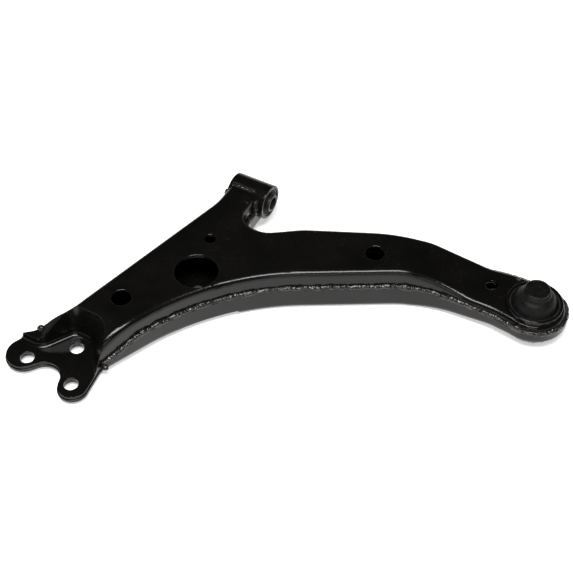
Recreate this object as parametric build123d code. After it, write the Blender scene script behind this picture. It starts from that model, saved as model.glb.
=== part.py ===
from build123d import *
import os
from math import acos, atan2, cos, hypot, pi, radians, sin, tan

# Front lower control arm of a compact car: two pressed sheet-steel shells nested into a
# hollow box and seam welded, a three-bolt ball joint pad at one end, a horizontal rubber
# bush in a welded eye and a vertical rubber bush in a welded ring.
# The front bush centre is the origin, +X runs along the suspension pivot axis to the
# rear bush, +Z is up, and the ball joint pad lies towards -Y.

# ---------------------------------------------------------------- driving dimensions
SHEET = 2.9                      # both pressed shells
NEST_GAP = 0.1                   # between the nested skirts
TOP_Z = 15.0                     # upper face of the main box
REAR_TOP_Z = -1.0                # upper face round the rear bush
FLOOR_Z = -28.0                  # underside of the main box
REAR_FLOOR_Z = -20.0
NECK_FLOOR_Z = -20.2
PAD_FLOOR_Z = -24.0              # underside of the ball joint pad
PAD_TOP_Z = PAD_FLOOR_Z + 2 * SHEET + NEST_GAP
SEAM_Z = -4.0                    # edge of the lower shell, where the seam weld sits
REAR_SEAM_Z = -8.0
SKIRT_Z = -11.0                  # hidden lower edge of the upper shell's skirt
REAR_SKIRT_Z = -13.5
PAD_SKIRT_Z = -17.8
BOX_END_Y = -236.0               # the nested box stops here, the flat bolt pad carries on
UPPER_EDGE_R = 5.5
LOWER_EDGE_R = 6.0

REAR_BUSH = (291.7, 0.0)
REAR_END_R = 28.5                # upper shell wall round the rear bush

PAD_HOLE_D = 13.0                # M12 ball joint bolts
PAD_HOLES = ((-80.3, -258.5), (-48.1, -228.7), (-29.1, -264.5))
LOBE_A = (-85.5, -255.3)
LOBE_A_R = 16.5
LOBE_B = (-26.9, -265.2)
LOBE_B_R = 13.2
NOTCH = (-55.9, -269.3)
NOTCH_R = 15.6
PAD_STEP = 0.8                   # the lower pad plate shows this much beyond the upper one

UPPER_HOLES = ((13.2, -123.4, 40.0), (-28.0, -182.8, 18.0), (2.7, -82.4, 10.6),
               (144.2, -25.3, 17.6), (248.7, 3.7, 11.4))
LOWER_HOLES = ((8.0, -116.0, 18.0), (249.5, 10.5, 16.0), (110.0, -40.0, 14.0))

EYE_OD = 34.0
EYE_ID = 28.0
EYE_LENGTH = 40.0
EYE_GAP = 0.1                    # shells to eye tube, bridged by the welds

FRONT_SLEEVE_ID = 25.4
FRONT_SLEEVE_LENGTH = 38.0
FRONT_CORE_OD = 17.0
FRONT_CORE_BORE = 12.2           # M12 pivot bolt
FRONT_CORE_LENGTH = 46.0

RING_OD = 51.0
RING_ID = 45.8
RING_TOP = 3.4
RING_BOTTOM = -21.5
RING_GAP = 0.1
REAR_SLEEVE_ID = 43.0
REAR_SLEEVE_TOP = 1.8
REAR_SLEEVE_BOTTOM = -20.5
CORE_HEAD_R = 11.3
CORE_SHANK_R = 8.5
CORE_TOP = 20.3
CORE_HEAD_BOTTOM = 16.3
CORE_FOOT_TOP = -16.0
CORE_BOTTOM = -24.0
CORE_TAP_R = 5.4                 # M12 x 1.25 tapping size
CORE_TAP_DEPTH = 22.0

BEAD = 2.8                       # seam weld leg
EYE_BEAD_R = 2.3


# ---------------------------------------------------------------- outline helpers
def outline(corners, grow=0.0):
    """Face of a closed anticlockwise polygon of (x, y, radius), grown by an offset."""
    count = len(corners)
    lines = []
    for i in range(count):
        (x0, y0, _), (x1, y1, _) = corners[i], corners[(i + 1) % count]
        length = hypot(x1 - x0, y1 - y0)
        ux, uy = (x1 - x0) / length, (y1 - y0) / length
        lines.append((x0 + grow * uy, y0 - grow * ux, ux, uy))
    arcs = []
    for i in range(count):
        ax, ay, aux, auy = lines[i - 1]
        bx, by, bux, buy = lines[i]
        turn = aux * buy - auy * bux
        s = ((bx - ax) * buy - (by - ay) * bux) / turn
        px, py = ax + s * aux, ay + s * auy
        radius = corners[i][2] + (grow if turn > 0 else -grow)
        half = atan2(abs(turn), aux * bux + auy * buy) / 2
        reach = max(radius, 0.2) * tan(half)
        start = (px - reach * aux, py - reach * auy)
        end = (px + reach * bux, py + reach * buy)
        mx, my = bux - aux, buy - auy
        bend = (1 / cos(half) - 1) * max(radius, 0.2) / hypot(mx, my)
        arcs.append((start, (px + mx * bend, py + my * bend), end))
    edges = []
    for i in range(count):
        start, middle, end = arcs[i]
        last = arcs[i - 1][2]
        if hypot(start[0] - last[0], start[1] - last[1]) > 0.01:
            edges.append(Line(last, start))
        else:
            start = last
        edges.append(ThreePointArc(start, middle, end))
    return make_face(edges)


def wrap(centre, radius, start, end, pieces):
    """Corners that carry the outline round a circle between two angles in radians."""
    step = (end - start) / pieces
    reach = radius / cos(step / 2)
    corners = []
    for i in range(pieces):
        angle = start + (i + 0.5) * step
        corners.append((centre[0] + reach * cos(angle), centre[1] + reach * sin(angle), radius))
    return corners


def touch(centre, radius, point, side):
    """Angle at which a line through the point touches the circle."""
    dx, dy = point[0] - centre[0], point[1] - centre[1]
    return atan2(dy, dx) + side * acos(radius / hypot(dx, dy))


def arm_corners():
    front_tangent = (260.5, -23.4)
    rear_tangent = (260.3, 27.7)
    lobe_tangent = (-60.8, -211.4)
    toe_tangent = (-17.6, -237.1)
    rear_start = touch(REAR_BUSH, REAR_END_R, front_tangent, 1)
    rear_end = touch(REAR_BUSH, REAR_END_R, rear_tangent, -1)
    lobe_start = touch(LOBE_A, LOBE_A_R, lobe_tangent, 1)
    across = atan2(NOTCH[1] - LOBE_A[1], NOTCH[0] - LOBE_A[0])
    lean = acos((LOBE_A_R + NOTCH_R) / hypot(NOTCH[0] - LOBE_A[0], NOTCH[1] - LOBE_A[1]))
    lobe_end = across - lean
    beyond = atan2(LOBE_B[1] - NOTCH[1], LOBE_B[0] - NOTCH[0])
    tilt = acos((LOBE_B_R + NOTCH_R) / hypot(LOBE_B[0] - NOTCH[0], LOBE_B[1] - NOTCH[1]))
    notch_end = beyond + tilt
    toe_end = touch(LOBE_B, LOBE_B_R, toe_tangent, -1)
    return [
        (32.4, -119.3, 229),
        (194.7, -24.3, 125),
        (*front_tangent, 60),
        *wrap(REAR_BUSH, REAR_END_R, rear_start, rear_end, 3),
        (*rear_tangent, 80),
        (147.5, 8.3, 150),
        (70.7, -28.1, 60),
        (41.8, -49.2, 25),
        (12.3, -49.4, 20),
        (11.3, 20, 9),
        (-18.5, 20, 9),
        (-18.3, -35.1, 60),
        (*lobe_tangent, 40),
        *wrap(LOBE_A, LOBE_A_R, lobe_start, lobe_end + 2 * pi, 3),
        *wrap(NOTCH, NOTCH_R, lobe_end + pi, notch_end, 3),
        *wrap(LOBE_B, LOBE_B_R, notch_end + pi, toe_end + 2 * pi, 3),
        (*toe_tangent, 12),
    ]


ARM = arm_corners()


# ---------------------------------------------------------------- pressed levels
def level_cutter(origin, heading, start, end, blend, above, drop):
    """Everything above (or below) a surface that stays at one level, slopes, then stays
    at another; start and end are (distance, height) along the heading in degrees.
    The surface is offset by drop into the part."""
    slope = atan2(end[1] - start[1], end[0] - start[0])
    sign = -1 if above else 1
    shift = -sign * drop * tan(slope / 2)
    p0 = (start[0] + shift, start[1] + sign * drop)
    p1 = (end[0] + shift, end[1] + sign * drop)
    half = abs(slope) / 2
    bend = 1 if (slope > 0) == above else -1
    r0 = blend + (drop if bend > 0 else -drop)
    r1 = blend + (drop if bend < 0 else -drop)
    t0, t1 = r0 * tan(half), r1 * tan(half)
    c, s = cos(slope), sin(slope)
    m0 = (1 / cos(half) - 1) * r0
    m1 = (1 / cos(half) - 1) * r1
    nx, nz = -sin(slope / 2), cos(slope / 2)
    up = 1 if slope > 0 else -1
    far = 600.0
    roof = 80.0 if above else -80.0
    a0, a1 = (p0[0] - t0, p0[1]), (p0[0] + t0 * c, p0[1] + t0 * s)
    b0, b1 = (p1[0] - t1 * c, p1[1] - t1 * s), (p1[0] + t1, p1[1])
    edges = [
        Line((-far, p0[1]), a0),
        ThreePointArc(a0, (p0[0] + up * nx * m0, p0[1] + up * nz * m0), a1),
        Line(a1, b0),
        ThreePointArc(b0, (p1[0] - up * nx * m1, p1[1] - up * nz * m1), b1),
        Line(b1, (far, p1[1])),
        Line((far, p1[1]), (far, roof)),
        Line((far, roof), (-far, roof)),
        Line((-far, roof), (-far, p0[1])),
    ]
    along = (cos(radians(heading)), sin(radians(heading)), 0)
    side = (sin(radians(heading)), -cos(radians(heading)), 0)
    plane = Plane(origin=(origin[0], origin[1], 0), x_dir=along, z_dir=side)
    return extrude(plane * make_face(edges), 400, both=True)


REAR_STEP = dict(origin=(183.5, 1.0), heading=-11.3, start=(0, TOP_Z), end=(54, REAR_TOP_Z),
                 blend=40)
PAD_SLOPE = dict(origin=(0, -214.0), heading=-90, start=(0, TOP_Z), end=(41, -10.0), blend=60)
RIDGE_SLOPE = dict(origin=(-61.0, -212.0), heading=-137, start=(0, TOP_Z), end=(33, -10.0),
                   blend=16)
POCKET = ((-118, -300, 2), (-4.5, -300, 2), (-4.5, -261, 2), (-42.5, -214.4, 11),
          (-58.5, -214.4, 9), (-75.5, -243.7, 14), (-118, -243.7, 2))
POCKET_DRAFTS = (10, 10, 25, 10, 10, 10, 10)  # degrees off vertical, one per side
POCKET_EDGE_R = 4.5


def moved_sides(corners, shifts):
    """Corners of the polygon with each side moved outwards by its own shift."""
    count = len(corners)
    lines = []
    for i in range(count):
        (x0, y0, _), (x1, y1, _) = corners[i], corners[(i + 1) % count]
        length = hypot(x1 - x0, y1 - y0)
        ux, uy = (x1 - x0) / length, (y1 - y0) / length
        lines.append((x0 + shifts[i] * uy, y0 - shifts[i] * ux, ux, uy))
    moved = []
    for i in range(count):
        ax, ay, aux, auy = lines[i - 1]
        bx, by, bux, buy = lines[i]
        turn = aux * buy - auy * bux
        s = ((bx - ax) * buy - (by - ay) * bux) / turn
        grow = (shifts[i - 1] + shifts[i]) / 2
        radius = max(corners[i][2] + (grow if turn > 0 else -grow), 0.5)
        moved.append((ax + s * aux, ay + s * auy, radius))
    return moved


def pocket_cutter(drop):
    """Void over the bolt pad; its walls lean back and are offset by drop."""
    height = 40.0
    leans = [tan(radians(angle)) for angle in POCKET_DRAFTS]
    walls = [drop * (hypot(1, lean) - lean) for lean in leans]
    tops = [wall + height * lean for wall, lean in zip(walls, leans)]
    low = Pos(0, 0, PAD_TOP_Z - drop) * outline(moved_sides(POCKET, walls))
    high = Pos(0, 0, PAD_TOP_Z - drop + height) * outline(moved_sides(POCKET, tops))
    return loft([low, high], ruled=True)


def pocket_walls(body):
    """The pocket's leaning walls, from just over its floor up to its rim."""
    found = []
    for face in body.faces():
        box = face.bounding_box()
        if (0.05 < lean_of(face) < 0.6 and box.min.Z < PAD_TOP_Z + 6 and box.max.Z > -13
                and box.min.X > -112 and box.max.Y < -190 and box.max.Z - box.min.Z > 5):
            found.append(face)
    return found


def lean_of(face):
    return face.normal_at(face.center()).Z


def borders(face_a, faces):
    """Edges that the face shares with any of the others."""
    return [e for e in face_a.edges() if any(e.is_same(o) for f in faces for o in f.edges())]


def crown(region, drop):
    """Solid under the upper shell's top surface, lowered by drop, with rounded edges."""
    base = -70.0
    body = Pos(0, 0, base) * extrude(region, TOP_Z - drop - base)
    body -= level_cutter(**REAR_STEP, above=True, drop=drop)
    body -= level_cutter(**PAD_SLOPE, above=True, drop=drop)
    sides = [f for f in body.faces() if abs(lean_of(f)) < 0.01]
    tops = [f for f in body.faces() if lean_of(f) > 0.5]
    rim = [e for f in sides for e in borders(f, tops)]
    body = fillet(rim, UPPER_EDGE_R - drop)
    body -= level_cutter(**RIDGE_SLOPE, above=True, drop=drop)
    body -= pocket_cutter(drop)
    floor = PAD_TOP_Z - drop
    foot = [e for f in pocket_walls(body) for e in f.edges() if abs(e.center().Z - floor) < 0.05]
    body = fillet(foot, POCKET_EDGE_R + drop)
    return body


# ---------------------------------------------------------------- shells
def half_space(y_from, y_to, z_from=-90, z_to=90):
    return Pos(100, (y_from + y_to) / 2, (z_from + z_to) / 2) * Box(
        900, abs(y_to - y_from), abs(z_to - z_from))


def between_walls(face_set, wanted):
    return [e for f in face_set for e in borders(f, wanted)]


def openings():
    """Cut from both shells: bolt holes, the rear ring's seat and the room for the eye."""
    cut = Pos(*REAR_BUSH, 0) * Cylinder(RING_OD / 2 + RING_GAP, 80)
    for x, y in PAD_HOLES:
        cut += Pos(x, y, 0) * Cylinder(PAD_HOLE_D / 2, 80)
    cut += Pos(-4, 28, 0) * Box(60, 60, 120)
    return cut + Rot(0, 90, 0) * Cylinder(EYE_OD / 2 + EYE_GAP, 90)


def upper_shell():
    shell = crown(outline(ARM), 0.0)
    shell -= crown(outline(ARM, -SHEET), SHEET)
    shell -= half_space(-400, BOX_END_Y, -90, PAD_TOP_Z - SHEET)
    skirt = level_cutter((REAR_STEP["origin"]), REAR_STEP["heading"], (0, SKIRT_Z),
                         (54, REAR_SKIRT_Z), 40, False, 0.0)
    skirt &= level_cutter((0, -185), -90, (0, SKIRT_Z), (30, PAD_SKIRT_Z), 18, False, 0.0)
    edge_band = Pos(0, 0, -80) * extrude(outline(ARM, 1.0) - outline(ARM, -SHEET - 0.2), 160)
    shell -= skirt & half_space(BOX_END_Y, 200) & edge_band
    for x, y, d in UPPER_HOLES:
        shell -= Pos(x, y, 0) * Cylinder(d / 2, 80)
    edges = [e for e in shell.edges().filter_by(GeomType.CIRCLE)
             if abs(e.center().Z - TOP_Z) < 0.01
             and any(abs(e.radius - d / 2) < 0.01 for _, _, d in UPPER_HOLES)]
    shell = fillet(edges, 1.1)
    return shell - openings()


RELIEF = (34.4, -139.8, 51.0, -21.8)     # x, y, heading and height of the pressed-in relief


def tray(region, drop):
    """Solid above the lower shell's underside, raised by drop, with rounded edges."""
    body = Pos(0, 0, FLOOR_Z + drop) * extrude(region, 60)
    body -= level_cutter((183.5, 1.0), -11.3, (10, FLOOR_Z), (100, REAR_FLOOR_Z), 60, False, drop)
    body -= level_cutter((0, -110), -90, (0, FLOOR_Z), (80, PAD_FLOOR_Z), 60, False, drop)
    body -= level_cutter((0, -58), 117, (0, FLOOR_Z), (32, NECK_FLOOR_Z), 30, False, drop)
    sides = [f for f in body.faces() if abs(lean_of(f)) < 0.01]
    floors = [f for f in body.faces() if lean_of(f) < -0.5]
    body = fillet(between_walls(sides, floors), LOWER_EDGE_R - drop)
    spot = Pos(*RELIEF[:2], 0) * Rot(0, 0, RELIEF[2])
    low = spot * Pos(0, 0, FLOOR_Z - 2) * Rectangle(68 + 2 * drop, 36 + 2 * drop)
    high = spot * Pos(0, 0, RELIEF[3] + drop) * Rectangle(54 + 2 * drop, 22 + 2 * drop)
    return body - loft([low, high], ruled=True)


def above_seam(lift):
    """Everything above the lower shell's edge, raised by lift."""
    cut = level_cutter(REAR_STEP["origin"], REAR_STEP["heading"], (0, SEAM_Z + lift),
                       (54, REAR_SEAM_Z + lift), 40, True, 0.0)
    return cut + level_cutter((0, -200), -90, (0, SEAM_Z + lift), (45, PAD_TOP_Z - 1 + lift),
                              20, True, 0.0)


def lower_shell():
    shell = tray(outline(ARM, SHEET + NEST_GAP), 0.0)
    shell -= tray(outline(ARM, NEST_GAP), SHEET)
    shell -= above_seam(0.0)
    shell -= half_space(-400, BOX_END_Y)
    pad = Pos(0, 0, PAD_FLOOR_Z) * extrude(outline(ARM, PAD_STEP), SHEET)
    shell += pad - half_space(BOX_END_Y, 200)
    for x, y, d in LOWER_HOLES:
        shell -= Pos(x, y, 0) * Cylinder(d / 2, 80)
    return shell - openings()


# ---------------------------------------------------------------- bushes
def along_x(radius, length):
    return Rot(0, 90, 0) * Cylinder(radius, length)


def tube_x(outer, inner, length, edge=0.4):
    tube = along_x(outer, length) - along_x(inner, length + 10)
    return chamfer(tube.edges().filter_by(GeomType.CIRCLE), edge)


def front_rubber():
    outer, inner = FRONT_SLEEVE_ID / 2, FRONT_CORE_OD / 2
    half = FRONT_SLEEVE_LENGTH / 2
    middle = (outer + inner) / 2
    face = make_face([
        Line((-half, inner), (half, inner)),
        Line((half, inner), (half + 1.4, inner)),
        ThreePointArc((half + 1.4, inner), (half - 0.8, middle), (half - 0.4, outer)),
        Line((half - 0.4, outer), (-half + 0.4, outer)),
        ThreePointArc((-half + 0.4, outer), (-half + 0.8, middle), (-half - 1.4, inner)),
        Line((-half - 1.4, inner), (-half, inner)),
    ])
    return revolve(face, Axis.X)


def turned(points):
    """Solid of revolution about the rear bush axis from (radius, height) points."""
    face = make_face(Polyline(*points, close=True))
    return Pos(*REAR_BUSH, 0) * revolve(Plane.XZ * face, Axis.Z)


def rear_ring():
    r0, r1 = RING_ID / 2, RING_OD / 2
    c = 0.7
    return turned([(r0, RING_BOTTOM + c), (r0 + c, RING_BOTTOM), (r1 - c, RING_BOTTOM),
                   (r1, RING_BOTTOM + c), (r1, RING_TOP - c), (r1 - c, RING_TOP),
                   (r0 + c, RING_TOP), (r0, RING_TOP - c)])


def rear_sleeve():
    return turned([(REAR_SLEEVE_ID / 2, REAR_SLEEVE_BOTTOM), (RING_ID / 2, REAR_SLEEVE_BOTTOM),
                   (RING_ID / 2, REAR_SLEEVE_TOP), (REAR_SLEEVE_ID / 2, REAR_SLEEVE_TOP)])


def rear_core():
    core = turned([(0, CORE_BOTTOM), (CORE_HEAD_R - 0.8, CORE_BOTTOM),
                   (CORE_HEAD_R, CORE_BOTTOM + 0.8), (CORE_HEAD_R, CORE_FOOT_TOP),
                   (CORE_SHANK_R, CORE_FOOT_TOP), (CORE_SHANK_R, CORE_HEAD_BOTTOM),
                   (CORE_HEAD_R, CORE_HEAD_BOTTOM), (CORE_HEAD_R, CORE_TOP - 0.5),
                   (CORE_HEAD_R - 0.5, CORE_TOP), (CORE_HEAD_R - 1.3, CORE_TOP),
                   (CORE_HEAD_R - 1.8, CORE_TOP - 0.6), (0, CORE_TOP - 0.6)])
    tap = Pos(*REAR_BUSH, CORE_BOTTOM + CORE_TAP_DEPTH / 2) * Cylinder(CORE_TAP_R, CORE_TAP_DEPTH)
    mouth = Pos(*REAR_BUSH, CORE_BOTTOM + 0.5) * Cone(CORE_TAP_R + 1.0, CORE_TAP_R, 1.0)
    return core - tap - mouth


def rear_rubber():
    wall = REAR_SLEEVE_ID / 2
    face = make_face([
        Line((CORE_SHANK_R, CORE_FOOT_TOP), (CORE_SHANK_R, CORE_HEAD_BOTTOM)),
        Line((CORE_SHANK_R, CORE_HEAD_BOTTOM), (CORE_HEAD_R, CORE_HEAD_BOTTOM)),
        ThreePointArc((CORE_HEAD_R, CORE_HEAD_BOTTOM), (12.3, 14.2), (14.6, 11.6)),
        ThreePointArc((14.6, 11.6), (18.6, 6.2), (20.6, 0.6)),
        Line((20.6, 0.6), (wall, 0.0)),
        Line((wall, 0.0), (wall, -18.5)),
        ThreePointArc((wall, -18.5), (16.4, -13.4), (CORE_HEAD_R, CORE_FOOT_TOP)),
        Line((CORE_HEAD_R, CORE_FOOT_TOP), (CORE_SHANK_R, CORE_FOOT_TOP)),
    ])
    return Pos(*REAR_BUSH, 0) * revolve(Plane.XZ * face, Axis.Z)


# ---------------------------------------------------------------- welds
def seam_bead():
    """Fillet weld all the way round on the lower shell's edge, against the upper skirt."""
    body = Pos(0, 0, -40) * extrude(outline(ARM, SHEET + NEST_GAP), 70)
    body -= above_seam(BEAD)
    tops = [f for f in body.faces() if lean_of(f) > 0.5]
    sides = [f for f in body.faces() if abs(lean_of(f)) < 0.01]
    body = fillet(between_walls(sides, tops), BEAD - 0.3)
    bead = body & above_seam(0.0)
    bead -= Pos(0, 0, -60) * extrude(outline(ARM, 0.0), 120)
    bead -= half_space(-400, BOX_END_Y + 1)
    bead -= Pos(-4, 28, 0) * Box(60, 60, 120)
    return bead - along_x(EYE_OD / 2 + EYE_GAP + EYE_BEAD_R, 90)


def prism(points):
    return Pos(0, 0, -60) * extrude(make_face(Polyline(*points, close=True)), 120)


WELD_START_X = 286.0
SPINE = ((-45, -262), (-45, -215), (0, -110), (0, -70), (60, -65), (200, -5), (WELD_START_X, 0))
FRONT_ZONE = (*SPINE, (WELD_START_X, -80), (60, -300))
LEFT_ZONE = ((-45, -262), (-45, -215), (0, -110), (-3, 60), (-160, 60), (-160, -262))
RIGHT_ZONE = ((-3, 60), (0, -70), (60, -65), (200, -5), (WELD_START_X, 0), (WELD_START_X, 60))
REAR_ZONE = ((WELD_START_X, -80), (400, -80), (400, 80), (WELD_START_X, 80))


def eye_side_bead(x):
    ring = Pos(x, 0, 0) * (Rot(0, 90, 0) * Torus(EYE_OD / 2 + 0.6, EYE_BEAD_R))
    return ring & (Pos(x, -30, -1) * Box(20, 50, 24))


def as_one(shape):
    """The largest solid, without slivers."""
    return max(shape.solids(), key=lambda s: s.volume)


def build():
    parts = {}
    upper = as_one(upper_shell())
    lower = as_one(lower_shell())
    eye = tube_x(EYE_OD / 2, EYE_ID / 2, EYE_LENGTH, 0.6)
    ring = rear_ring()
    parts["upper_shell"] = upper
    parts["lower_shell"] = lower
    parts["front_eye_tube"] = eye
    parts["front_bush_outer_sleeve"] = tube_x(EYE_ID / 2, FRONT_SLEEVE_ID / 2,
                                              FRONT_SLEEVE_LENGTH, 0.3)
    parts["front_bush_rubber"] = front_rubber()
    parts["front_bush_inner_sleeve"] = tube_x(FRONT_CORE_OD / 2, FRONT_CORE_BORE / 2,
                                              FRONT_CORE_LENGTH, 0.6)
    parts["rear_ring"] = ring
    parts["rear_bush_outer_sleeve"] = rear_sleeve()
    parts["rear_bush_rubber"] = rear_rubber()
    parts["rear_bush_core"] = rear_core()
    bead = seam_bead()
    zones = {"front": FRONT_ZONE, "outer": LEFT_ZONE, "inner": RIGHT_ZONE, "end": REAR_ZONE}
    for name, zone in zones.items():
        parts["seam_weld_" + name] = as_one(bead & prism(zone))
    top_bead = Pos(-4, -8.4, 14.9) * along_x(EYE_BEAD_R, 24)
    foot_bead = Pos(-4, -1.6, -19.0) * along_x(EYE_BEAD_R, 26)
    eye_beads = {"top": top_bead, "bottom": foot_bead, "rear": eye_side_bead(12.4),
                 "front": eye_side_bead(-18.6)}
    for name, shape in eye_beads.items():
        shape = shape - along_x(EYE_OD / 2, 90) - upper - lower - bead
        parts["eye_weld_" + name] = as_one(shape)
    under = Pos(*REAR_BUSH, REAR_FLOOR_Z) * Torus(RING_OD / 2 + 0.3, 1.9)
    parts["ring_weld"] = as_one(under - lower - upper - Pos(*REAR_BUSH, 0) * Cylinder(RING_OD / 2, 80)
                                - half_space(-100, 100, REAR_FLOOR_Z + 0.4, 40))
    return parts


os.makedirs("parts", exist_ok=True)
for node, shape in build().items():
    export_step(shape, f"parts/{node}.step")
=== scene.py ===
"""Front lower control arm: black enamelled pressings, lumpy painted welds and rubber bushes."""
import math
import random

import bmesh
import bpy
from mathutils import Euler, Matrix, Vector


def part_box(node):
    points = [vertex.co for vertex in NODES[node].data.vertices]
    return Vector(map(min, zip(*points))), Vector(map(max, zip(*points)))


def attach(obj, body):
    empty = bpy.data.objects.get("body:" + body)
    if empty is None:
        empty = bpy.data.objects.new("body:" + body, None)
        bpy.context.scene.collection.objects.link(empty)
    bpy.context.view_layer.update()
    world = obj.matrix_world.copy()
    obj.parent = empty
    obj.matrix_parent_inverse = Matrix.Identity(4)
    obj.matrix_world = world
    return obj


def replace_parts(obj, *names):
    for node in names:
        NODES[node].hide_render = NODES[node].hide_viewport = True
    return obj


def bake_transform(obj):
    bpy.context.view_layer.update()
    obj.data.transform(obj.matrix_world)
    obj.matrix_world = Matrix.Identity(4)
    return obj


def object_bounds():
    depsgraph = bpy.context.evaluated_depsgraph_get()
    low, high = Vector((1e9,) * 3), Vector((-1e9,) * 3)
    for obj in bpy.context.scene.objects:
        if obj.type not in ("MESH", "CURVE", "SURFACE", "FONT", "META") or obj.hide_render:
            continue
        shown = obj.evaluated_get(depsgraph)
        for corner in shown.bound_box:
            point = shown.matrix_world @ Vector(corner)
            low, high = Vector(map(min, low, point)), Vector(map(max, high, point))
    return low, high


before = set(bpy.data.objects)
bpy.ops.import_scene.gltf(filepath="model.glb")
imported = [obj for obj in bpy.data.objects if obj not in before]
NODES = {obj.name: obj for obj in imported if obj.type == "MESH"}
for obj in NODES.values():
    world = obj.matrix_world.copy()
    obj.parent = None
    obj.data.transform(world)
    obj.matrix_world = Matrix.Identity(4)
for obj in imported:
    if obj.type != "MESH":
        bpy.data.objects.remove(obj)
CAD_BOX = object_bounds()
MM = 0.001

# ---------------------------------------------------------------- places, from the frame
def middle(node):
    low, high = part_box(node)
    return (low + high) / 2


REAR = Vector((middle("rear_ring").x, middle("rear_ring").y, 0.0))
CORE_FOOT_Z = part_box("rear_bush_core")[0].z
FLOOR_Z = CAD_BOX[0][2]


# ---------------------------------------------------------------- materials
BEVEL_SAMPLES = 8
PAINT_EDGE_R = 1.2 * MM


class Graph:
    """A material's node tree, with short calls for the nodes it is built from."""

    def __init__(self, name):
        self.material = bpy.data.materials.new(name)
        self.material.use_nodes = True
        self.tree = self.material.node_tree
        self.shader = self.tree.nodes["Principled BSDF"]
        self.place = self.add("ShaderNodeTexCoord").outputs["Object"]

    def add(self, kind, **settings):
        node = self.tree.nodes.new(kind)
        for key, value in settings.items():
            setattr(node, key, value)
        return node

    def link(self, source, target):
        self.tree.links.new(source, target)

    def stretched(self, scale, turn):
        node = self.add("ShaderNodeMapping")
        node.inputs["Scale"].default_value = scale
        node.inputs["Rotation"].default_value = (0, 0, turn)
        self.link(self.place, node.inputs["Vector"])
        return node.outputs["Vector"]

    def noise(self, scale, detail, rough=0.5, vector=None):
        node = self.add("ShaderNodeTexNoise")
        node.inputs["Scale"].default_value = scale
        node.inputs["Detail"].default_value = detail
        node.inputs["Roughness"].default_value = rough
        self.link(vector or self.place, node.inputs["Vector"])
        return node.outputs["Fac"]

    def cells(self, scale, feature="F1"):
        node = self.add("ShaderNodeTexVoronoi", feature=feature)
        node.inputs["Scale"].default_value = scale
        self.link(self.place, node.inputs["Vector"])
        return node.outputs["Distance"]

    def ramp(self, value, low, high, start=0.0, end=1.0):
        node = self.add("ShaderNodeMapRange")
        node.inputs["From Min"].default_value = low
        node.inputs["From Max"].default_value = high
        node.inputs["To Min"].default_value = start
        node.inputs["To Max"].default_value = end
        self.link(value, node.inputs["Value"])
        return node.outputs["Result"]

    def math(self, operation, a, b):
        node = self.add("ShaderNodeMath", operation=operation)
        for socket, value in zip(node.inputs, (a, b)):
            if isinstance(value, (int, float)):
                socket.default_value = value
            else:
                self.link(value, socket)
        return node.outputs[0]

    def colour_mix(self, factor, a, b):
        node = self.add("ShaderNodeMix", data_type="RGBA")
        self.link(factor, node.inputs["Factor"])
        for socket, value in ((node.inputs[6], a), (node.inputs[7], b)):
            if isinstance(value, tuple):
                socket.default_value = (*value, 1)
            else:
                self.link(value, socket)
        return node.outputs[2]

    def worn_edges(self, radius):
        """Normals that roll over hard edges, as paint does on a sheared sheet edge."""
        node = self.add("ShaderNodeBevel", samples=BEVEL_SAMPLES)
        node.inputs["Radius"].default_value = radius
        return node.outputs["Normal"]

    def bump(self, height, depth, under=None):
        node = self.add("ShaderNodeBump")
        node.inputs["Distance"].default_value = depth
        self.link(height, node.inputs["Height"])
        if under:
            self.link(under, node.inputs["Normal"])
        return node.outputs["Normal"]

    def finish(self, colour, roughness, normal=None, metallic=0.0):
        self.link(colour, self.shader.inputs["Base Color"])
        self.link(roughness, self.shader.inputs["Roughness"])
        self.shader.inputs["Metallic"].default_value = metallic
        if normal:
            self.link(normal, self.shader.inputs["Normal"])
        return self.material


def enamel():
    """Black dipped paint: faint orange peel, dust specks, handling scuffs and soft cloudiness."""
    g = Graph("black_enamel")
    cloud = g.noise(26, 4, 0.6)
    dust = g.ramp(g.cells(1100), 0.16, 0.05)
    patches = g.ramp(g.noise(60, 2), 0.5, 0.66)
    dust = g.math("MULTIPLY", dust, patches)
    scuffs = g.ramp(g.noise(900, 3, 0.7, g.stretched((0.05, 1.0, 1.0), 0.6)), 0.66, 0.8)
    where = g.ramp(g.noise(34, 3, 0.6), 0.54, 0.68)
    scuffs = g.math("MULTIPLY", scuffs, where)
    base = g.colour_mix(g.ramp(cloud, 0.35, 0.7),
                        (0.0026, 0.0025, 0.0023), (0.0045, 0.0043, 0.0039))
    marked = g.colour_mix(g.math("MULTIPLY", scuffs, 0.35), base, (0.09, 0.087, 0.08))
    colour = g.colour_mix(g.math("MULTIPLY", dust, 0.5), marked, (0.22, 0.21, 0.19))
    rough = g.ramp(cloud, 0.3, 0.75, 0.12, 0.2)
    rough = g.math("ADD", rough, g.math("MULTIPLY", g.math("MAXIMUM", dust, scuffs), 0.22))
    peel = g.bump(g.noise(420, 2, 0.5), 0.04 * MM, g.worn_edges(PAINT_EDGE_R))
    waves = g.bump(g.noise(45, 2, 0.5), 0.25 * MM, peel)
    g.shader.inputs["Specular IOR Level"].default_value = 0.28
    return g.finish(colour, rough, waves)


def weld_paint():
    """The same paint run over ripples and spatter, pitted and with browned patches."""
    g = Graph("painted_weld")
    grain = g.noise(700, 4, 0.6)
    browned = g.ramp(g.noise(240, 3, 0.6), 0.56, 0.72)
    base = g.colour_mix(grain, (0.006, 0.0057, 0.0052), (0.016, 0.0145, 0.0125))
    colour = g.colour_mix(g.math("MULTIPLY", browned, 0.55), base, (0.075, 0.062, 0.048))
    rough = g.ramp(grain, 0.3, 0.7, 0.12, 0.28)
    pits = g.bump(g.cells(650, "SMOOTH_F1"), 0.25 * MM)
    return g.finish(colour, rough, g.bump(grain, 0.15 * MM, pits))


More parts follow.
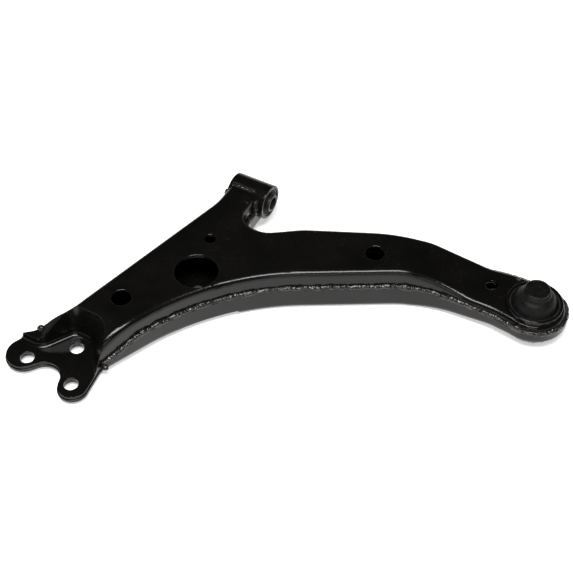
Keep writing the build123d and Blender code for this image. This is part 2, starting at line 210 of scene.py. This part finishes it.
def moulded_rubber():
    """Matte bush rubber: dusty bloom, pale specks, mould grain and shallow swells."""
    g = Graph("bush_rubber")
    bloom = g.noise(150, 4, 0.65)
    specks = g.ramp(g.cells(1500), 0.14, 0.04)
    base = g.colour_mix(g.ramp(bloom, 0.35, 0.7),
                        (0.0032, 0.0032, 0.0031), (0.0085, 0.0083, 0.0079))
    colour = g.colour_mix(g.math("MULTIPLY", specks, 0.25), base, (0.1, 0.098, 0.09))
    rough = g.ramp(bloom, 0.3, 0.7, 0.4, 0.58)
    g.shader.inputs["Specular IOR Level"].default_value = 0.14
    grain = g.bump(g.noise(1600, 3, 0.6), 0.06 * MM)
    return g.finish(colour, rough, g.bump(g.noise(260, 2, 0.5), 0.15 * MM, grain))


def turned_steel(name, dark, light, low, high):
    """Machined steel under a thin dark coat: fine tool marks, stains and a few bright nicks."""
    g = Graph(name)
    stains = g.noise(190, 4, 0.65)
    marks = g.noise(1400, 3, 0.6)
    nicks = g.ramp(g.noise(420, 4, 0.7), 0.66, 0.74)
    base = g.colour_mix(g.ramp(stains, 0.35, 0.68), dark, light)
    colour = g.colour_mix(g.math("MULTIPLY", nicks, 0.5), base, (0.3, 0.29, 0.27))
    rough = g.ramp(marks, 0.3, 0.7, low, high)
    return g.finish(colour, rough, g.bump(marks, 0.04 * MM), metallic=0.75)


PAINT = enamel()
WELD = weld_paint()
RUBBER = moulded_rubber()
SLEEVE = turned_steel("sleeve_steel", (0.03, 0.028, 0.026), (0.085, 0.08, 0.074), 0.3, 0.46)
CORE = turned_steel("core_steel", (0.009, 0.0087, 0.0084), (0.026, 0.025, 0.024), 0.3, 0.44)
LOOKS = {
    "upper_shell": PAINT, "lower_shell": PAINT, "front_eye_tube": PAINT, "rear_ring": PAINT,
    "front_bush_outer_sleeve": SLEEVE, "front_bush_inner_sleeve": SLEEVE,
    "rear_bush_outer_sleeve": SLEEVE, "rear_bush_core": CORE,
    "front_bush_rubber": RUBBER, "rear_bush_rubber": RUBBER,
}


def paint_node(obj, material):
    obj.data.materials.clear()
    obj.data.materials.append(material)


for node_name, node in NODES.items():
    paint_node(node, LOOKS.get(node_name, WELD))


# ---------------------------------------------------------------- piece helpers
def add_piece(name, mesh, material, body):
    piece = bpy.data.objects.new(name, mesh)
    bpy.context.scene.collection.objects.link(piece)
    mesh.materials.clear()
    mesh.materials.append(material)
    if body:
        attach(piece, body)
    return piece


def apply_modifiers(piece):
    bpy.context.view_layer.update()
    shaped = piece.evaluated_get(bpy.context.evaluated_depsgraph_get())
    mesh = bpy.data.meshes.new_from_object(shaped)
    piece.modifiers.clear()
    piece.data = mesh


def lathe(name, profile, centre, axis, steps=96):
    """Mesh of a closed (radius, height) profile turned about an axis through the centre."""
    bm = bmesh.new()
    rings = []
    for i in range(steps):
        angle = 2 * math.pi * i / steps
        ring = []
        for radius, height in profile:
            a, b = radius * math.cos(angle), radius * math.sin(angle)
            offset = Vector((a, b, height)) if axis == "Z" else Vector((height, a, b))
            ring.append(bm.verts.new(centre + offset))
        rings.append(ring)
    count = len(profile)
    for i in range(steps):
        near, far = rings[i], rings[(i + 1) % steps]
        for j in range(count):
            k = (j + 1) % count
            bm.faces.new((near[j], far[j], far[k], near[k]))
    bmesh.ops.recalc_face_normals(bm, faces=bm.faces)
    mesh = bpy.data.meshes.new(name)
    bm.to_mesh(mesh)
    bm.free()
    mesh.shade_smooth()
    return mesh


def rounded(points, radius, pieces=3):
    """The closed profile with each corner cut to a small arc."""
    result = []
    count = len(points)
    for i in range(count):
        here = Vector(points[i])
        before = Vector(points[i - 1]) - here
        after = Vector(points[(i + 1) % count]) - here
        cut = min(radius, before.length / 2.2, after.length / 2.2)
        start, end = here + before.normalized() * cut, here + after.normalized() * cut
        for j in range(pieces + 1):
            t = j / pieces
            result.append(tuple((1 - t) ** 2 * start + 2 * t * (1 - t) * here + t * t * end))
    return result


# ---------------------------------------------------------------- weld beads
def lumps(name, size):
    texture = bpy.data.textures.new(name, type="CLOUDS")
    texture.noise_scale = size
    texture.noise_depth = 2
    return texture


SWELL = lumps("weld_swell", 7.5 * MM)
RIPPLE = lumps("weld_ripple", 2.2 * MM)
BEAD_VOXEL = 0.42 * MM
BEAD_MID_LEVEL = 0.42
# depth of the swell and of the ripple; the inner seam is flatter, and the others are short beads
INNER_SEAM_DEPTHS = (1.0 * MM, 0.7 * MM)
SEAM_DEPTHS = (2.4 * MM, 1.1 * MM)
SHORT_BEAD_DEPTHS = (1.8 * MM, 0.8 * MM)


def rippled_bead(node_name, swell, ripple):
    """The CAD bead as the welder left it: swollen, starved and rippled along its run."""
    mesh = NODES[node_name].data.copy()
    bead = add_piece(node_name + "_rippled", mesh, WELD, None)
    remesh = bead.modifiers.new("fine", "REMESH")
    remesh.mode = "VOXEL"
    remesh.voxel_size = BEAD_VOXEL
    remesh.use_smooth_shade = True
    smooth = bead.modifiers.new("soft", "SMOOTH")
    smooth.factor = 0.5
    smooth.iterations = 3
    for texture, depth in ((SWELL, swell), (RIPPLE, ripple)):
        push = bead.modifiers.new(texture.name, "DISPLACE")
        push.texture = texture
        push.texture_coords = "LOCAL"
        push.mid_level = BEAD_MID_LEVEL
        push.strength = depth
    apply_modifiers(bead)
    for vert in bead.data.vertices:
        vert.co = [min(max(value, low), high) for value, low, high in zip(vert.co, *CAD_BOX)]
    bead.data.shade_smooth()
    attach(bead, "arm")
    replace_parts(bead, node_name)


for node_name in NODES:
    if node_name == "seam_weld_inner":
        rippled_bead(node_name, *INNER_SEAM_DEPTHS)
    elif node_name.startswith("seam_weld"):
        rippled_bead(node_name, *SEAM_DEPTHS)
    elif "weld" in node_name:
        rippled_bead(node_name, *SHORT_BEAD_DEPTHS)


RIPPLES_PER_BLOB = 7
RIPPLE_RANGE = (0.04, 0.13)
SKIRT_SPREAD = 0.35
SKIRT_TOP = 0.35


def blob(name, centre, size, seed):
    """A frozen splash of weld metal: a squat lump with a soft skirt."""
    rng = random.Random(seed)
    bm = bmesh.new()
    bmesh.ops.create_icosphere(bm, subdivisions=4, radius=1.0)
    ripples = [(Vector([rng.uniform(-1, 1) for _ in range(3)]).normalized(),
                rng.uniform(*RIPPLE_RANGE)) for _ in range(RIPPLES_PER_BLOB)]
    for vert in bm.verts:
        way = vert.co.normalized()
        swell = 1 + sum(depth * max(way.dot(axis), 0) ** 3 for axis, depth in ripples)
        skirt = 1 + SKIRT_SPREAD * max(0.0, SKIRT_TOP - way.z)
        vert.co = centre + Vector((way.x * size.x * skirt, way.y * size.y * skirt,
                                   way.z * size.z)) * swell
    mesh = bpy.data.meshes.new(name)
    bm.to_mesh(mesh)
    bm.free()
    mesh.shade_smooth()
    add_piece(name, mesh, WELD, "arm")


# name, centre and half sizes of each blob, in millimetres
BLOBS = (
    ("weld_blob_ring_front", Vector((287.0, -29.6, -5.0)), Vector((4.2, 2.2, 2.6))),
    ("weld_blob_ring_rear", Vector((286.0, 28.2, -5.0)), Vector((3.4, 1.4, 2.2))),
    ("weld_blob_pad_outer", Vector((-83.0, -231.8, -7.0)), Vector((3.0, 2.6, 2.4))),
    ("weld_blob_pad_inner", Vector((-13.5, -235.5, -16.9)), Vector((3.0, 2.4, 2.2))),
    ("weld_blob_eye_rear", Vector((13.2, -16.0, 4.0)), Vector((2.8, 2.4, 3.0))),
    ("spatter_rear", Vector((268.0, 22.0, -1.2)), Vector((2.0, 1.7, 1.5))),
    ("spatter_neck", Vector((8.5, -24.0, 14.7)), Vector((1.1, 1.0, 0.8))),
)
FIRST_BLOB_SEED = 3
for seed, (blob_name, blob_place, blob_size) in enumerate(BLOBS, FIRST_BLOB_SEED):
    blob(blob_name, blob_place * MM, blob_size * MM, seed)


SPATTER_REACH = 0.4
SPATTER_RADII = (0.25, 0.7)


def spatter(count, seed):
    """Grains of weld spatter under the paint, scattered along the front and inner seams."""
    rng = random.Random(seed)
    bm = bmesh.new()
    for node_name in ("seam_weld_front", "seam_weld_inner"):
        verts = NODES[node_name].data.vertices
        for _ in range(count):
            vert = verts[rng.randrange(len(verts))]
            aside = Vector((rng.uniform(-1, 1), rng.uniform(-1, 1), 0))
            place = vert.co + aside * SPATTER_REACH * MM
            radius = rng.uniform(*SPATTER_RADII) * MM
            found = bmesh.ops.create_icosphere(bm, subdivisions=2, radius=radius)
            for grain in found["verts"]:
                grain.co += place
    mesh = bpy.data.meshes.new("weld_spatter")
    bm.to_mesh(mesh)
    bm.free()
    mesh.shade_smooth()
    add_piece("weld_spatter", mesh, WELD, "arm")


spatter(count=70, seed=11)


# ---------------------------------------------------------------- rubber bushes
# closed outlines, turned about each bush's axis, in millimetres
SHANK_R = 8.5
DOME = ((SHANK_R, -16.0), (SHANK_R, 16.2), (11.9, 16.2), (12.5, 15.0), (12.2, 14.0), (13.4, 12.6),
        (15.4, 11.2), (17.2, 9.0), (18.5, 6.4), (19.3, 4.0), (20.2, 2.2), (20.9, 1.1), (21.5, 0.6),
        (21.5, -18.5), (19.2, -16.2), (16.2, -13.6), (13.2, -14.4), (11.2, -16.0))


def scaled(profile):
    return [(r * MM, z * MM) for r, z in profile]


DOME_ROUND = 1.1 * MM
dome_mesh = lathe("rear_bush_dome", rounded(scaled(DOME), DOME_ROUND), REAR, "Z", 128)
dome = add_piece("rear_bush_dome", dome_mesh, RUBBER, None)
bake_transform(dome)
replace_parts(dome, "rear_bush_rubber")

LIP = 1.4
EYE_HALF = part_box("front_bush_rubber")[1].x / MM - LIP
FACE = ((8.55, 0.0), (8.55, EYE_HALF + LIP), (9.4, EYE_HALF + 1.1), (10.1, EYE_HALF - 0.4),
        (11.2, EYE_HALF - 1.1), (12.1, EYE_HALF - 0.6), (12.7, EYE_HALF - 0.4), (12.7, 0.0))


def end_rubber(name, side):
    """Half of the front bush's rubber, with its dished face on that side."""
    profile = [(r * MM, side * x * MM) for r, x in FACE]
    mesh = lathe(name, rounded(profile, 0.5 * MM), Vector((0, 0, 0)), "X", 96)
    return add_piece(name, mesh, RUBBER, "arm")


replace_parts(end_rubber("front_bush_face_rear", 1), "front_bush_rubber")
end_rubber("front_bush_face_front", -1)


# ---------------------------------------------------------------- rear core's thread
def thread(name, centre, radius, crest, pitch, bottom, top, steps=40):
    """Inward ridge of a female thread, wound up the hole, with its root sunk in the wall."""
    bm = bmesh.new()
    turns = (top - bottom) / pitch
    root = radius + 0.1 * MM
    half = 0.45 * pitch
    last = None
    for i in range(int(turns * steps) + 1):
        angle = 2 * math.pi * i / steps
        height = bottom + pitch * i / steps
        loop = []
        for r, dz in ((root, -half), (crest, 0.0), (root, half)):
            offset = Vector((r * math.cos(angle), r * math.sin(angle), height + dz))
            loop.append(bm.verts.new(centre + offset))
        if last:
            for j in range(3):
                k = (j + 1) % 3
                bm.faces.new((last[j], loop[j], loop[k], last[k]))
        else:
            bm.faces.new(loop)
        last = loop
    bm.faces.new(reversed(last))
    bmesh.ops.recalc_face_normals(bm, faces=bm.faces)
    mesh = bpy.data.meshes.new(name)
    bm.to_mesh(mesh)
    bm.free()
    mesh.shade_smooth()
    add_piece(name, mesh, CORE, "rear_core")


thread("rear_core_thread", REAR, radius=5.4 * MM, crest=4.75 * MM, pitch=1.25 * MM,
       bottom=CORE_FOOT_Z + 1.6 * MM, top=CORE_FOOT_Z + 20.5 * MM)


# ---------------------------------------------------------------- stage, light and camera
FLOOR_HALF = 3.0
FLOOR_GAP = 0.05 * MM


def floor():
    """A pale square just under the arm, with a soft glow that keeps it near white."""
    bm = bmesh.new()
    corners = [bm.verts.new((x * FLOOR_HALF, y * FLOOR_HALF, FLOOR_Z - FLOOR_GAP))
               for x, y in ((-1, -1), (1, -1), (1, 1), (-1, 1))]
    bm.faces.new(corners)
    mesh = bpy.data.meshes.new("studio_floor")
    bm.to_mesh(mesh)
    bm.free()
    obj = bpy.data.objects.new("studio_floor", mesh)
    bpy.context.scene.collection.objects.link(obj)
    g = Graph("pale_floor")
    tint = g.colour_mix(g.noise(3, 2), (0.9, 0.9, 0.9), (0.93, 0.93, 0.925))
    rough = g.ramp(g.noise(40, 2), 0.3, 0.7, 0.75, 0.85)
    g.shader.inputs["Specular IOR Level"].default_value = 0.1
    g.link(tint, g.shader.inputs["Emission Color"])
    g.shader.inputs["Emission Strength"].default_value = 0.55
    mesh.materials.append(g.finish(tint, rough))


def softbox(name, place, target, size, power):
    data = bpy.data.lights.new(name, "AREA")
    data.shape = "RECTANGLE"
    data.size, data.size_y = size
    data.energy = power
    lamp = bpy.data.objects.new(name, data)
    bpy.context.scene.collection.objects.link(lamp)
    lamp.location = place
    lamp.rotation_euler = (Vector(target) - Vector(place)).to_track_quat("-Z", "Y").to_euler()


def surroundings():
    """A studio: pale low down, dark higher up, so that the flat top reads black."""
    world = bpy.data.worlds.new("studio")
    bpy.context.scene.world = world
    world.use_nodes = True
    tree = world.node_tree
    coords = tree.nodes.new("ShaderNodeTexCoord")
    split = tree.nodes.new("ShaderNodeSeparateXYZ")
    ramp = tree.nodes.new("ShaderNodeValToRGB")
    tree.links.new(coords.outputs["Generated"], split.inputs["Vector"])
    tree.links.new(split.outputs["Z"], ramp.inputs["Fac"])
    tree.links.new(ramp.outputs["Color"], tree.nodes["Background"].inputs["Color"])
    stops = ((0.0, 0.75), (0.1, 0.5), (0.3, 0.05), (0.8, 0.02), (0.95, 0.1))
    while len(ramp.color_ramp.elements) < len(stops):
        ramp.color_ramp.elements.new(1.0)
    for element, (position, value) in zip(ramp.color_ramp.elements, stops):
        element.position = position
        element.color = (value, value, value * 0.99, 1)


floor()
surroundings()
CENTRE = (0.1, -0.12, 0.0)
softbox("overhead", (0.25, -0.55, 1.5), CENTRE, (1.1, 0.5), 32)
softbox("front_fill", (0.9, -1.7, 1.0), CENTRE, (1.0, 0.8), 4)

SENSOR_MM = 36
FOCAL_PX = 1250
IMAGE_PX = 573
CAMERA_PLACE = (0.4568, -0.7594, 0.8358)
CAMERA_TILT = math.radians(42.5)
CAMERA_TURN = math.radians(28.88)
camera_data = bpy.data.cameras.new("camera")
camera_data.sensor_width = SENSOR_MM
camera_data.lens = SENSOR_MM * FOCAL_PX / IMAGE_PX
camera_data.clip_end = 50
camera = bpy.data.objects.new("camera", camera_data)
bpy.context.scene.collection.objects.link(camera)
camera.location = CAMERA_PLACE
camera.rotation_euler = Euler((CAMERA_TILT, 0, CAMERA_TURN))
bpy.context.scene.camera = camera
bpy.context.scene.view_settings.view_transform = "Standard"
